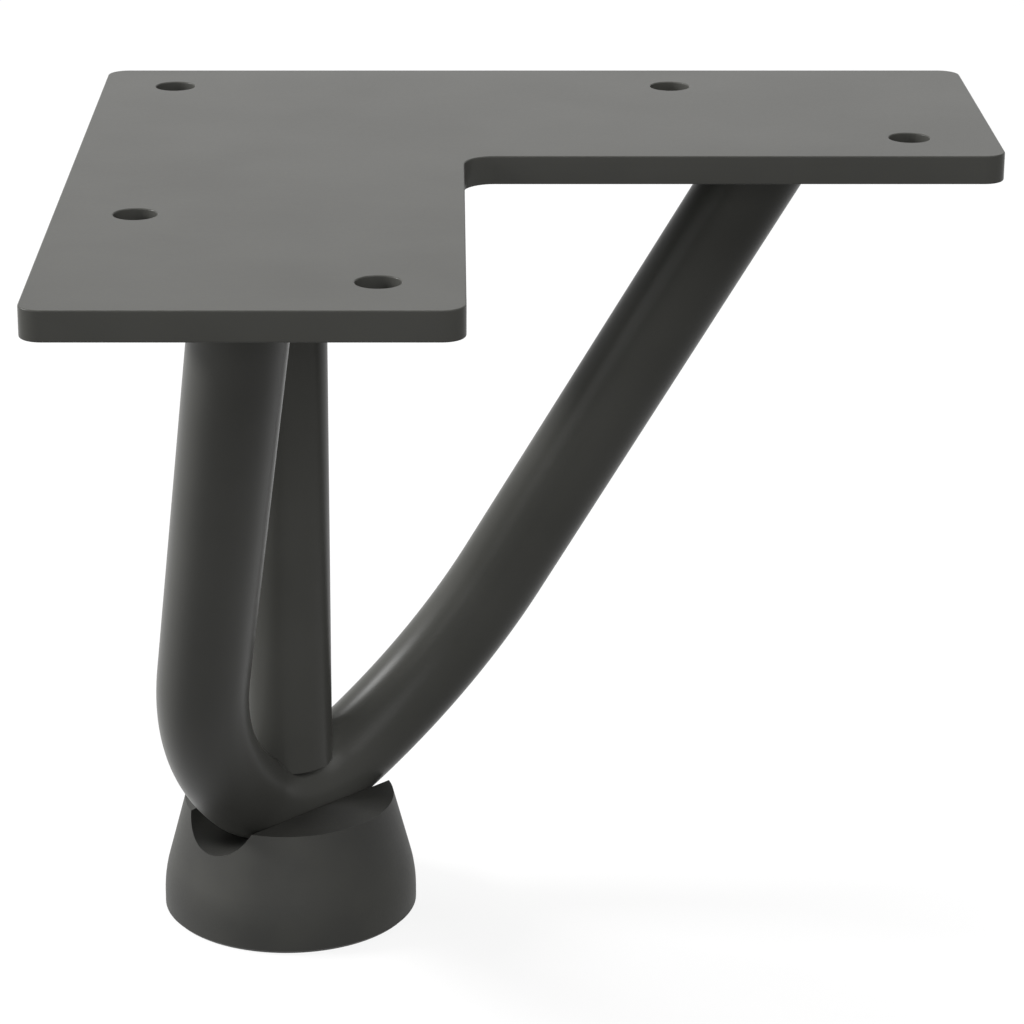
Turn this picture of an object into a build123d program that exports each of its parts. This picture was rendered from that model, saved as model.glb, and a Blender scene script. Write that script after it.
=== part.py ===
from build123d import *
from math import asin, atan2, cos, degrees, hypot, radians, sin, sqrt, tan
import os

# Short hairpin leg for a table or cabinet: an L-shaped mounting plate, one rod bent into a hairpin,
# one straight rod up to the corner of the plate, and a round foot with a groove that the bend sits in.
# Millimetres, +Z up. X runs along the right arm of the plate and Y towards the back.
# The origin is on the floor at the centre of the foot, below the middle of the plate's corner square.
# The leg is the same on both sides of the vertical plane through the plate's outer and inner corners.

# Overall
leg_height = 94.0              # floor to the top of the plate

# Mounting plate
plate_side = 96.0              # outer edge of each arm, from the corner to the arm's end
arm_width = 40.0
plate_thickness = 3.0
outer_corner_radius = 2.2
inner_corner_radius = 3.2

# Screw holes
screw_hole_diameter = 4.3
outer_hole_from_edge = 8.0     # outer row, from the plate's outer edge
outer_hole_from_end = 33.0     # outer row, from the arm's end
inner_hole_from_edge = 8.0     # inner hole, from the arm's inner edge
inner_hole_from_end = 9.2      # inner hole, from the arm's end

# Rods
rod_diameter = 10.0
leg_reach = 54.1               # corner rod to the top of each hairpin leg, along the arm
leg_offset = 0.9               # top of each hairpin leg, from the arm's middle line towards the outer edge
bend_radius = 12.5             # centre line of the tight bend at the foot
bend_half_angle = 43.0         # turn of the tight bend, each side of the middle
easing_radius = 51.0           # gentle bend that leads from the tight one into each straight leg
saddle_trim = 4.0              # height cut off the two tips of the corner rod's saddle

# Foot
foot_height = 13.4
foot_base_diameter = 29.2
foot_band_height = 3.8         # upright band at the floor, before the taper starts
foot_taper = 14.9              # degrees from upright
foot_blend_radius = 16.0       # rounds the band into the taper
foot_edge_chamfer = 0.4        # bottom edge
groove_depth = 4.5             # below the flat top, at the middle of the foot
groove_clearance = 0.1         # bond line between the rod and the groove
groove_arc_radius = 60.0       # the groove curves up gently, less than the bend that lies in it

# Fillet welds under the plate
weld_size = 3.0
weld_toe = 0.3

# Heights and centre lines
plate_underside = leg_height - plate_thickness
rod_radius = rod_diameter / 2
groove_radius = rod_radius + groove_clearance
bend_height = foot_height - groove_depth + groove_radius

# Plan of the plate, seen from above
plate_left = -arm_width / 2
plate_back = arm_width / 2
plate_right = plate_left + plate_side
plate_front = plate_back - plate_side
notch_left = plate_left + arm_width
notch_back = plate_back - arm_width

# The hairpin lies in one flat plane, which holds the lowest point of the bend and both leg tops
leg_rise = plate_underside - bend_height
half_gap = (leg_reach + leg_offset) / sqrt(2)
lean = (leg_reach - leg_offset) / sqrt(2)
slant_height = hypot(leg_rise, lean)
bend_bottom = Vector(0, 0, bend_height)
across = Vector(1, 1, 0).normalized()
upwards = (Vector(1, -1, 0).normalized() * lean + Vector(0, 0, leg_rise)).normalized()
hairpin_plane = Plane(origin=bend_bottom, x_dir=across, z_dir=across.cross(upwards))
mirror_plane = Plane(origin=(0, 0, 0), z_dir=across)

# Each leg leaves the easing bend on a tangent that meets the plate at the leg's top
easing_centre_x = (bend_radius - easing_radius) * sin(radians(bend_half_angle))
easing_centre_y = bend_radius + (easing_radius - bend_radius) * cos(radians(bend_half_angle))
sight_x = half_gap - easing_centre_x
sight_y = slant_height - easing_centre_y
leg_angle = degrees(atan2(sight_y, sight_x) + asin(easing_radius / hypot(sight_x, sight_y)))
easing_angle = leg_angle - bend_half_angle
leg_sideways = cos(radians(leg_angle))
leg_upwards = sin(radians(leg_angle))
leg_top_x = half_gap + rod_diameter * leg_sideways
leg_top_y = slant_height + rod_diameter * leg_upwards


def mirrored(point):
    """The same place on the other arm of the plate."""
    return (-point[1], -point[0])


corner_hole = (plate_left + outer_hole_from_edge, plate_back - outer_hole_from_edge)
outer_hole = (plate_left + outer_hole_from_edge, plate_front + outer_hole_from_end)
inner_hole = (notch_left - inner_hole_from_edge, plate_front + inner_hole_from_end)
screw_holes = [corner_hole, outer_hole, inner_hole, mirrored(outer_hole), mirrored(inner_hole)]


# Mounting plate
with BuildPart() as mounting_plate:
    with BuildSketch(Plane.XY.offset(plate_underside)):
        with BuildLine():
            Polyline(
                (plate_left, plate_back),
                (plate_right, plate_back),
                (plate_right, notch_back),
                (notch_left, notch_back),
                (notch_left, plate_front),
                (plate_left, plate_front),
                close=True,
            )
        make_face()
        notch_corner = vertices().sort_by_distance((notch_left, notch_back))[0]
        fillet(notch_corner, inner_corner_radius)
        arm_ends = vertices().group_by(Axis.X)[0] + vertices().group_by(Axis.X)[-1]
        front_inner_corner = vertices().sort_by_distance((notch_left, plate_front))[0]
        fillet(arm_ends + [front_inner_corner], outer_corner_radius)
    extrude(amount=plate_thickness)
    with Locations(*[(x, y, leg_height) for x, y in screw_holes]):
        Hole(screw_hole_diameter / 2)

# Hairpin: tight bend, easing bends and straight legs, cut level where they meet the plate
with BuildPart() as hairpin_rod:
    with BuildLine(hairpin_plane) as centre_line:
        tight_bend = CenterArc((0, bend_radius), bend_radius, -90 - bend_half_angle, 2 * bend_half_angle)
        easing_bend = JernArc(tight_bend @ 1, tight_bend % 1, easing_radius, easing_angle)
        straight_leg = Line(easing_bend @ 1, (leg_top_x, leg_top_y))
        mirror([easing_bend, straight_leg], about=mirror_plane)
    rod_path = centre_line.wire()
    with BuildSketch(Plane(origin=rod_path @ 0, z_dir=rod_path % 0)):
        Circle(rod_radius)
    sweep(path=rod_path)
    split(bisect_by=Plane.XY.offset(plate_underside), keep=Keep.BOTTOM)

# Corner rod: upright, with a shallow saddle cut in its lower end that sits on the bend
with BuildPart() as corner_rod:
    with BuildSketch(Plane.XY.offset(plate_underside)):
        Circle(rod_radius)
    extrude(amount=-(leg_rise - saddle_trim))
    add(hairpin_rod.part, mode=Mode.SUBTRACT)

# Foot: turned profile, with a round-bottomed groove that opens along the leaning plane of the hairpin
with BuildPart() as foot:
    base_radius = foot_base_diameter / 2
    top_radius = base_radius - (foot_height - foot_band_height) * tan(radians(foot_taper))
    with BuildSketch(Plane.XZ):
        with BuildLine():
            Polyline(
                (0, 0),
                (base_radius, 0),
                (base_radius, foot_band_height),
                (top_radius, foot_height),
                (0, foot_height),
                close=True,
            )
        make_face()
        band_edge = vertices().sort_by_distance((base_radius, foot_band_height))[0]
        fillet(band_edge, foot_blend_radius)
        bottom_edge = vertices().sort_by_distance((base_radius, 0))[0]
        chamfer(bottom_edge, foot_edge_chamfer)
    revolve(axis=Axis.Z)
    groove_half_angle = degrees(foot_base_diameter / groove_arc_radius)
    with BuildLine(hairpin_plane) as groove_line:
        CenterArc((0, groove_arc_radius), groove_arc_radius, -90 - groove_half_angle, 2 * groove_half_angle)
    groove_path = groove_line.wire()
    with BuildSketch(Plane(origin=groove_path @ 0, x_dir=-hairpin_plane.z_dir, z_dir=groove_path % 0)):
        Circle(groove_radius)
        Rectangle(2 * groove_radius, foot_height, align=(Align.CENTER, Align.MIN))
    sweep(path=groove_path, mode=Mode.SUBTRACT)


def fillet_weld(rod, leg_top, leg_direction):
    """Weld bead round a rod where it meets the plate, thinning to a toe on the rod."""
    stretch = 1 / leg_direction.Z
    upright = leg_direction.Z == 1
    long_way = Vector(1, 0, 0) if upright else Vector(leg_direction.X, leg_direction.Y, 0)
    toe_centre = leg_top - leg_direction * (weld_size * stretch)
    with BuildPart() as bead:
        for centre, growth in ((leg_top, weld_size), (toe_centre, weld_toe)):
            with BuildSketch(Plane(origin=centre, x_dir=long_way, z_dir=(0, 0, 1))):
                if upright:
                    Circle(rod_radius + growth)
                else:
                    Ellipse(rod_radius * stretch + growth, rod_radius + growth)
        loft()
        add(rod, mode=Mode.SUBTRACT)
    return bead


# Welds
front_direction = upwards * leg_upwards - across * leg_sideways
right_direction = upwards * leg_upwards + across * leg_sideways
front_top = Vector(-leg_offset, -leg_reach, plate_underside)
right_top = Vector(leg_reach, leg_offset, plate_underside)
weld_front = fillet_weld(hairpin_rod.part, front_top, front_direction)
weld_right = fillet_weld(hairpin_rod.part, right_top, right_direction)
weld_corner = fillet_weld(corner_rod.part, Vector(0, 0, plate_underside), Vector(0, 0, 1))

# Finished pieces
mounting_plate.part.label = "mounting_plate"
hairpin_rod.part.label = "hairpin_rod"
corner_rod.part.label = "corner_rod"
foot.part.label = "foot"
weld_front.part.label = "weld_front"
weld_right.part.label = "weld_right"
weld_corner.part.label = "weld_corner"

os.makedirs("parts", exist_ok=True)
export_step(mounting_plate.part, "parts/mounting_plate.step")
export_step(hairpin_rod.part, "parts/hairpin_rod.step")
export_step(corner_rod.part, "parts/corner_rod.step")
export_step(foot.part, "parts/foot.step")
export_step(weld_front.part, "parts/weld_front.step")
export_step(weld_right.part, "parts/weld_right.step")
export_step(weld_corner.part, "parts/weld_corner.step")
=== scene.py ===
from math import asin, atan2, cos, hypot, pi, radians, sin, sqrt, tan

import bmesh
import bpy
from mathutils import Matrix, Vector


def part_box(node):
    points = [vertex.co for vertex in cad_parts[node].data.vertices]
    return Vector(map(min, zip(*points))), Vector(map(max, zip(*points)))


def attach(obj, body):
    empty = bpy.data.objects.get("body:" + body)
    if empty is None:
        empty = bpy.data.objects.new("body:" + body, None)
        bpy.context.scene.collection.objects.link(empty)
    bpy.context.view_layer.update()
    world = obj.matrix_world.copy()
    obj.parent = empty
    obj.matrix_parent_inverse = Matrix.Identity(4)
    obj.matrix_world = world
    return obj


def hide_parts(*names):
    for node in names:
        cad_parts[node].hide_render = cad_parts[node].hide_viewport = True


# Short hairpin table leg in anthracite powder-coated steel, with a moulded plastic foot.
# Metres in the row frame: +Z up, the floor at Z = 0, the front arm of the plate along -Y.

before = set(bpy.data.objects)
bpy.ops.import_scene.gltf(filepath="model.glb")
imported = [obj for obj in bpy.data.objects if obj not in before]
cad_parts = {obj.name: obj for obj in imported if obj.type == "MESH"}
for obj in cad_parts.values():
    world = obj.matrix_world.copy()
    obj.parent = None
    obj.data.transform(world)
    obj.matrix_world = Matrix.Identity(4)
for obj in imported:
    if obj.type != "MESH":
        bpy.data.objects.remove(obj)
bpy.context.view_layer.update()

MM = 0.001
SAME_PLACE = 0.0001 * MM       # two points closer than this are one

# CAD nodes that keep their own shape
COATED_NODES = ["corner_rod", "weld_front", "weld_right", "weld_corner"]
FOOT_NODE = "foot"

# Edges of the laser-cut plate, softened by the coat
PLATE_EDGE = 0.15 * MM
EDGE_STEPS = 3
SHARP_EDGE = radians(50)       # between two faces, from where an edge counts as sharp
FLAT_ENOUGH = radians(0.5)     # facets of one flat face

# Hairpin: one rod bent tightly at the foot and gently above it, in a plane that leans in under the plate
ROD_RADIUS = 5.0 * MM
ROD_SIDES = 72                 # faces round the rod
BEND_STEPS = 28                # rings in each bend
BEND_HEIGHT = 14.0 * MM        # centre line at the middle of the bend
BEND_RADIUS = 12.5 * MM
BEND_HALF_ANGLE = radians(43)
EASING_RADIUS = 51.0 * MM
LEG_REACH = 54.1 * MM          # top of each leg from the corner rod, along the arm
LEG_OFFSET = 0.9 * MM          # top of each leg from the arm's middle line
MIRROR_SEAM = 0.001 * MM       # the two halves of the hairpin join within this

# Camera: level horizon, square to the front of the plate, looking down a little
CAMERA_PLACE = Vector((18.384, -383.32, 184.842)) * MM
CAMERA_DOWN = 0.343            # radians below the horizontal
CAMERA_LENS = 127.25           # millimetres
CAMERA_SENSOR = 36.0           # width in millimetres
CAMERA_SHIFT = 0.062           # share of the picture's width
CAMERA_NEAREST = 0.01          # metres
CAMERA_FURTHEST = 20.0

# Floor and room
BACKDROP_HEX = "FFFFFF"
FLOOR_HEX = "F2F2F1"
FLOOR_CLOUDS = 60              # millimetres across
FLOOR_RADIUS = 3.0
FLOOR_SIDES = 96
FLOOR_BOUNCE_HEX = "333332"    # what the floor throws back on matt surfaces
FLOOR_GLOW = 0.86              # share of the floor's white that the shadow leaves alone
FADE_START = 0.15              # metres from the foot, from where the floor turns to plain white
FADE_END = 0.8
ROOM_LEVEL = 0.03              # what the pale room gives to matt surfaces

# Soft boxes, turned towards the leg: azimuth (0 in front, 90 on the right), elevation, width and height
# in degrees as seen from the leg, and how bright the lamp makes a white card that faces it
SOFT_BOXES = {
    "left_low_soft_box": (-65, 13, 56, 20, 0.3),
    "left_high_soft_box": (-100, 33, 24, 8, 1.4),
    "front_soft_box": (0, 13, 30, 22, 0.28),
    "right_soft_box": (42, 42, 30, 30, 0.5),
    "back_soft_box": (180, 66, 26, 26, 0.45),
}
LAMPS_AIM = Vector((28, -28, 50)) * MM
LAMP_DISTANCE = 1.2            # metres

# Powder coat, sizes and heights in millimetres
COAT_DARK_HEX = "434340"
COAT_LIGHT_HEX = "474744"
COAT_CLOUDS = 14               # faint patches of tone
COAT_PEEL = 1.6                # dimples of the orange peel
COAT_PEEL_HEIGHT = 0.003
COAT_GRAIN = 0.3               # drawn coarser than the real grain, which is too fine to show
COAT_GRAIN_HEIGHT = 0.0004
COAT_ROUGHNESS = (0.30, 0.34)
COAT_SPECULAR = 0.08           # far under the usual 0.5, which keeps the plate's top even

# Moulded foot, sizes and heights in millimetres
FOOT_DARK_HEX = "30302E"
FOOT_LIGHT_HEX = "373734"
FOOT_CLOUDS = 9                # faint patches of tone
FOOT_GRAIN = 0.35              # drawn coarser than real spark grain, which is too fine to show
FOOT_GRAIN_HEIGHT = 0.004
FOOT_ROUGHNESS = (0.5, 0.6)
FOOT_SPECULAR = 0.22           # under the usual 0.5, for the foot's dull sides

PLASTIC_IOR = 1.5              # about that of the coat's resin and of polypropylene
CLOUD_DETAIL = 2.0             # octaves in the tone patterns
TONE_STOPS = (0.35, 0.65)      # where a pattern reaches its dark and its light colour


def linear(hex_colour):
    """sRGB hex to the linear RGBA that a shader socket takes."""
    channels = [int(hex_colour[i:i + 2], 16) / 255 for i in (0, 2, 4)]
    curve = [c / 12.92 if c <= 0.04045 else ((c + 0.055) / 1.055) ** 2.4 for c in channels]
    return (*curve, 1.0)


def add_node(tree, kind, options=None, sockets=None, links=None):
    """Adds a node with its options, its sockets' values, and the outputs that feed its sockets."""
    node = tree.nodes.new(kind)
    for name, value in (options or {}).items():
        setattr(node, name, value)
    for name, value in (sockets or {}).items():
        node.inputs[name].default_value = value
    for name, output in (links or {}).items():
        tree.links.new(output, node.inputs[name])
    return node


def new_material(name):
    """An empty node material with the object's own coordinates, in metres."""
    material = bpy.data.materials.new(name)
    material.use_nodes = True
    tree = material.node_tree
    tree.nodes.clear()
    place = add_node(tree, "ShaderNodeTexCoord").outputs["Object"]
    return material, tree, place


def noise(tree, place, size, detail=1.0):
    """Cloudy pattern whose patches are this many millimetres across."""
    sockets = {"Scale": 1 / (size * MM), "Detail": detail}
    return add_node(tree, "ShaderNodeTexNoise", sockets=sockets, links={"Vector": place}).outputs["Fac"]


def two_tone(tree, pattern, dark_hex, light_hex):
    """Colour that goes from dark to light with the pattern."""
    ramp = add_node(tree, "ShaderNodeValToRGB", links={"Fac": pattern})
    stops = zip(ramp.color_ramp.elements, TONE_STOPS, (dark_hex, light_hex))
    for stop, position, hex_colour in stops:
        stop.position = position
        stop.color = linear(hex_colour)
    return ramp.outputs["Color"]


def spread(tree, pattern, low, high):
    """The pattern as a value from low to high."""
    sockets = {"To Min": low, "To Max": high}
    return add_node(tree, "ShaderNodeMapRange", sockets=sockets, links={"Value": pattern}).outputs["Result"]


def relief(tree, pattern, height, below=None):
    """Bumps this many millimetres high, on top of the relief below."""
    links = {"Height": pattern}
    if below is not None:
        links["Normal"] = below
    sockets = {"Strength": 1.0, "Distance": height * MM}
    return add_node(tree, "ShaderNodeBump", sockets=sockets, links=links).outputs["Normal"]


def finish_material(tree, colour, roughness, normal, specular):
    """Joins colour, gloss and relief in one shader."""
    links = {"Base Color": colour, "Roughness": roughness, "Normal": normal}
    sockets = {"IOR": PLASTIC_IOR, "Specular IOR Level": specular}
    shader = add_node(tree, "ShaderNodeBsdfPrincipled", sockets=sockets, links=links)
    add_node(tree, "ShaderNodeOutputMaterial", links={"Surface": shader.outputs["BSDF"]})


def powder_coat():
    """Satin polyester powder coat, sprayed on steel and baked: an even warm anthracite with a faint
    orange peel and a very fine grain, which soften its reflections but leave bright grazing edges."""
    material, tree, place = new_material("satin_powder_coat")
    colour = two_tone(tree, noise(tree, place, COAT_CLOUDS, CLOUD_DETAIL), COAT_DARK_HEX, COAT_LIGHT_HEX)
    grain = noise(tree, place, COAT_GRAIN)
    peel = relief(tree, noise(tree, place, COAT_PEEL), COAT_PEEL_HEIGHT)
    normal = relief(tree, grain, COAT_GRAIN_HEIGHT, peel)
    finish_material(tree, colour, spread(tree, grain, *COAT_ROUGHNESS), normal, COAT_SPECULAR)
    return material


def moulded_polypropylene():
    """Polypropylene moulded in a spark-eroded tool: a dull dark grey with a fine even grain."""
    material, tree, place = new_material("moulded_polypropylene")
    colour = two_tone(tree, noise(tree, place, FOOT_CLOUDS, CLOUD_DETAIL), FOOT_DARK_HEX, FOOT_LIGHT_HEX)
    grain = noise(tree, place, FOOT_GRAIN)
    normal = relief(tree, grain, FOOT_GRAIN_HEIGHT)
    finish_material(tree, colour, spread(tree, grain, *FOOT_ROUGHNESS), normal, FOOT_SPECULAR)
    return material


def dress(node_name, material):
    """Gives a CAD node its finish."""
    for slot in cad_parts[node_name].material_slots:
        slot.material = material


def coated_piece(name, shape, material, node_name):
    """Puts a powder-coated shape in place of a CAD node, on the same body."""
    bmesh.ops.recalc_face_normals(shape, faces=shape.faces)
    for face in shape.faces:
        face.smooth = True
    mesh = bpy.data.meshes.new(name)
    shape.to_mesh(mesh)
    shape.free()
    mesh.materials.append(material)
    piece = bpy.data.objects.new(name, mesh)
    bpy.context.scene.collection.objects.link(piece)
    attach(piece, "root")
    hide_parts(node_name)
    return piece


def rounded_plate(material):
    """The CAD plate's shape with its sharp edges rounded, and shaded flat where it is flat."""
    shape = bmesh.new()
    shape.from_mesh(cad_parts["mounting_plate"].data)
    bmesh.ops.remove_doubles(shape, verts=shape.verts, dist=SAME_PLACE)
    bmesh.ops.dissolve_limit(shape, angle_limit=FLAT_ENOUGH, verts=shape.verts, edges=shape.edges)
    sharp = [edge for edge in shape.edges if edge.calc_face_angle() > SHARP_EDGE]
    bmesh.ops.bevel(shape, geom=sharp, offset=PLATE_EDGE, segments=EDGE_STEPS, profile=0.5,
                    affect="EDGES", material=-1)
    piece = coated_piece("rounded_plate", shape, material, "mounting_plate")
    piece.modifiers.new("flat_faces_stay_flat", "WEIGHTED_NORMAL")


def bent_hairpin(material):
    """The hairpin with fine round bends: half of it is spun and drawn from a ring, then mirrored."""
    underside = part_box("mounting_plate")[0][2]
    rise = underside - BEND_HEIGHT
    half_gap = (LEG_REACH + LEG_OFFSET) / sqrt(2)
    lean = (LEG_REACH - LEG_OFFSET) / sqrt(2)
    slant_height = hypot(rise, lean)
    easing_centre = Vector((
        (BEND_RADIUS - EASING_RADIUS) * sin(BEND_HALF_ANGLE),
        BEND_RADIUS + (EASING_RADIUS - BEND_RADIUS) * cos(BEND_HALF_ANGLE),
        0,
    ))
    # The leg leaves the easing bend on a tangent that meets the plate at the leg's top, and is drawn
    # a rod's width past it, so that the level cut goes through the whole rod
    sight = Vector((half_gap, slant_height, 0)) - easing_centre
    leg_angle = atan2(sight.y, sight.x) + asin(EASING_RADIUS / sight.length)
    leg_length = sqrt(sight.length ** 2 - EASING_RADIUS ** 2) + 2 * ROD_RADIUS
    leg_direction = Vector((cos(leg_angle), sin(leg_angle), 0))

    # One half, flat on the XY plane with the middle of the bend at the origin
    shape = bmesh.new()
    facing_along = Matrix.Rotation(pi / 2, 4, "Y")
    bmesh.ops.create_circle(shape, segments=ROD_SIDES, radius=ROD_RADIUS, matrix=facing_along)
    rim = shape.verts[:] + shape.edges[:]
    tight_centre = Vector((0, BEND_RADIUS, 0))
    bends = ((tight_centre, BEND_HALF_ANGLE), (easing_centre, leg_angle - BEND_HALF_ANGLE))
    for centre, angle in bends:
        spun = bmesh.ops.spin(shape, geom=rim, cent=centre, axis=(0, 0, 1), angle=angle, steps=BEND_STEPS)
        rim = spun["geom_last"]
    rim_edges = [item for item in rim if isinstance(item, bmesh.types.BMEdge)]
    drawn = bmesh.ops.extrude_edge_only(shape, edges=rim_edges)["geom"]
    leg_end = [item for item in drawn if isinstance(item, bmesh.types.BMVert)]
    bmesh.ops.translate(shape, vec=leg_direction * leg_length, verts=leg_end)
    everything = shape.verts[:] + shape.edges[:] + shape.faces[:]
    bmesh.ops.mirror(shape, geom=everything, axis="X", merge_dist=MIRROR_SEAM)

    # Stood up in its leaning plane, and cut level under the plate
    across = Vector((1, 1, 0)).normalized()
    upwards = (Vector((1, -1, 0)).normalized() * lean + Vector((0, 0, rise))).normalized()
    leaning_plane = Matrix((across, upwards, across.cross(upwards))).transposed().to_4x4()
    leaning_plane.translation = (0, 0, BEND_HEIGHT)
    bmesh.ops.transform(shape, matrix=leaning_plane, verts=shape.verts)
    everything = shape.verts[:] + shape.edges[:] + shape.faces[:]
    bmesh.ops.bisect_plane(shape, geom=everything, dist=SAME_PLACE, clear_outer=True,
                           plane_co=(0, 0, underside), plane_no=(0, 0, 1))
    cut_edges = [edge for edge in shape.edges if edge.is_boundary]
    bmesh.ops.holes_fill(shape, edges=cut_edges)
    for edge in cut_edges:
        edge.smooth = False
    coated_piece("bent_hairpin", shape, material, "hairpin_rod")


def seen_rays(tree):
    """1 for camera, glossy and transmission rays, 0 for the rays that light matt surfaces."""
    path = add_node(tree, "ShaderNodeLightPath").outputs
    larger = {"operation": "MAXIMUM"}
    seen_or_mirrored = {0: path["Is Camera Ray"], 1: path["Is Glossy Ray"]}
    first = add_node(tree, "ShaderNodeMath", larger, links=seen_or_mirrored)
    with_glass = {0: first.outputs["Value"], 1: path["Is Transmission Ray"]}
    return add_node(tree, "ShaderNodeMath", larger, links=with_glass).outputs["Value"]


def mix(tree, share, first, second):
    """The two shaders mixed, with this share of the second."""
    return add_node(tree, "ShaderNodeMixShader", links={0: share, 1: first, 2: second}).outputs["Shader"]


def pale_floor_material():
    """Matt paper that keeps the shadow near the leg, and plain white further out. On matt surfaces
    it throws back less than it would, so that they aren't lit from below."""
    material, tree, place = new_material("pale_floor")
    seen = seen_rays(tree)
    paper = two_tone(tree, noise(tree, place, FLOOR_CLOUDS, CLOUD_DETAIL), FLOOR_HEX, BACKDROP_HEX)
    pale = add_node(tree, "ShaderNodeBsdfDiffuse", links={"Color": paper})
    dull = add_node(tree, "ShaderNodeBsdfDiffuse", sockets={"Color": linear(FLOOR_BOUNCE_HEX)})
    glow = add_node(tree, "ShaderNodeEmission", sockets={"Color": linear(BACKDROP_HEX), "Strength": 1.0})
    distance = add_node(tree, "ShaderNodeVectorMath", {"operation": "LENGTH"}, links={"Vector": place})
    fade = {"From Min": FADE_START, "From Max": FADE_END, "To Min": FLOOR_GLOW, "To Max": 1.0}
    glowing = add_node(tree, "ShaderNodeMapRange", sockets=fade, links={"Value": distance.outputs["Value"]})
    lit = mix(tree, glowing.outputs["Result"], pale.outputs["BSDF"], glow.outputs["Emission"])
    surface = mix(tree, seen, dull.outputs["BSDF"], lit)
    add_node(tree, "ShaderNodeOutputMaterial", links={"Surface": surface})
    return material


def build_floor():
    """Round studio floor that reads white from the camera and in reflections."""
    mesh = bpy.data.meshes.new("studio_floor")
    shape = bmesh.new()
    bmesh.ops.create_circle(shape, cap_ends=True, segments=FLOOR_SIDES, radius=FLOOR_RADIUS)
    shape.to_mesh(mesh)
    shape.free()
    floor = bpy.data.objects.new("studio_floor", mesh)
    bpy.context.scene.collection.objects.link(floor)
    mesh.materials.append(pale_floor_material())


def build_room():
    """World: white where it is seen or reflected, dimmer as a light on matt surfaces."""
    world = bpy.data.worlds.new("studio_room")
    bpy.context.scene.world = world
    world.use_nodes = True
    tree = world.node_tree
    tree.nodes.clear()
    level = spread(tree, seen_rays(tree), ROOM_LEVEL, 1.0)
    back = add_node(tree, "ShaderNodeBackground", {}, {"Color": linear(BACKDROP_HEX)}, {"Strength": level})
    add_node(tree, "ShaderNodeOutputWorld", links={"Surface": back.outputs["Background"]})


def soft_box(name, azimuth, elevation, width, height, level):
    """Area lamp at its place round the leg, as large as its width and height in degrees make it."""
    around, up = radians(azimuth), radians(elevation)
    direction = Vector((sin(around) * cos(up), -cos(around) * cos(up), sin(up)))
    lamp = bpy.data.lights.new(name, "AREA")
    lamp.shape = "RECTANGLE"
    lamp.size = 2 * LAMP_DISTANCE * tan(radians(width / 2))
    lamp.size_y = 2 * LAMP_DISTANCE * tan(radians(height / 2))
    # A white card that faces a lamp of this energy is about as bright as the level
    lamp.energy = level * (pi * LAMP_DISTANCE) ** 2
    box = bpy.data.objects.new(name, lamp)
    box.location = LAMPS_AIM + direction * LAMP_DISTANCE
    box.rotation_euler = direction.to_track_quat("Z", "Y").to_euler()
    bpy.context.scene.collection.objects.link(box)


def build_camera():
    """The photograph's view."""
    lens = bpy.data.cameras.new("product_camera")
    lens.sensor_width = CAMERA_SENSOR
    lens.lens = CAMERA_LENS
    lens.shift_x = CAMERA_SHIFT
    lens.clip_start = CAMERA_NEAREST
    lens.clip_end = CAMERA_FURTHEST
    camera = bpy.data.objects.new("product_camera", lens)
    camera.location = CAMERA_PLACE
    camera.rotation_euler = (pi / 2 - CAMERA_DOWN, 0.0, 0.0)
    bpy.context.scene.collection.objects.link(camera)
    bpy.context.scene.camera = camera


bpy.context.scene.view_settings.view_transform = "Standard"
coat = powder_coat()
for node_name in COATED_NODES:
    dress(node_name, coat)
dress(FOOT_NODE, moulded_polypropylene())
bent_hairpin(coat)
rounded_plate(coat)
build_floor()
build_room()
for name, settings in SOFT_BOXES.items():
    soft_box(name, *settings)
build_camera()
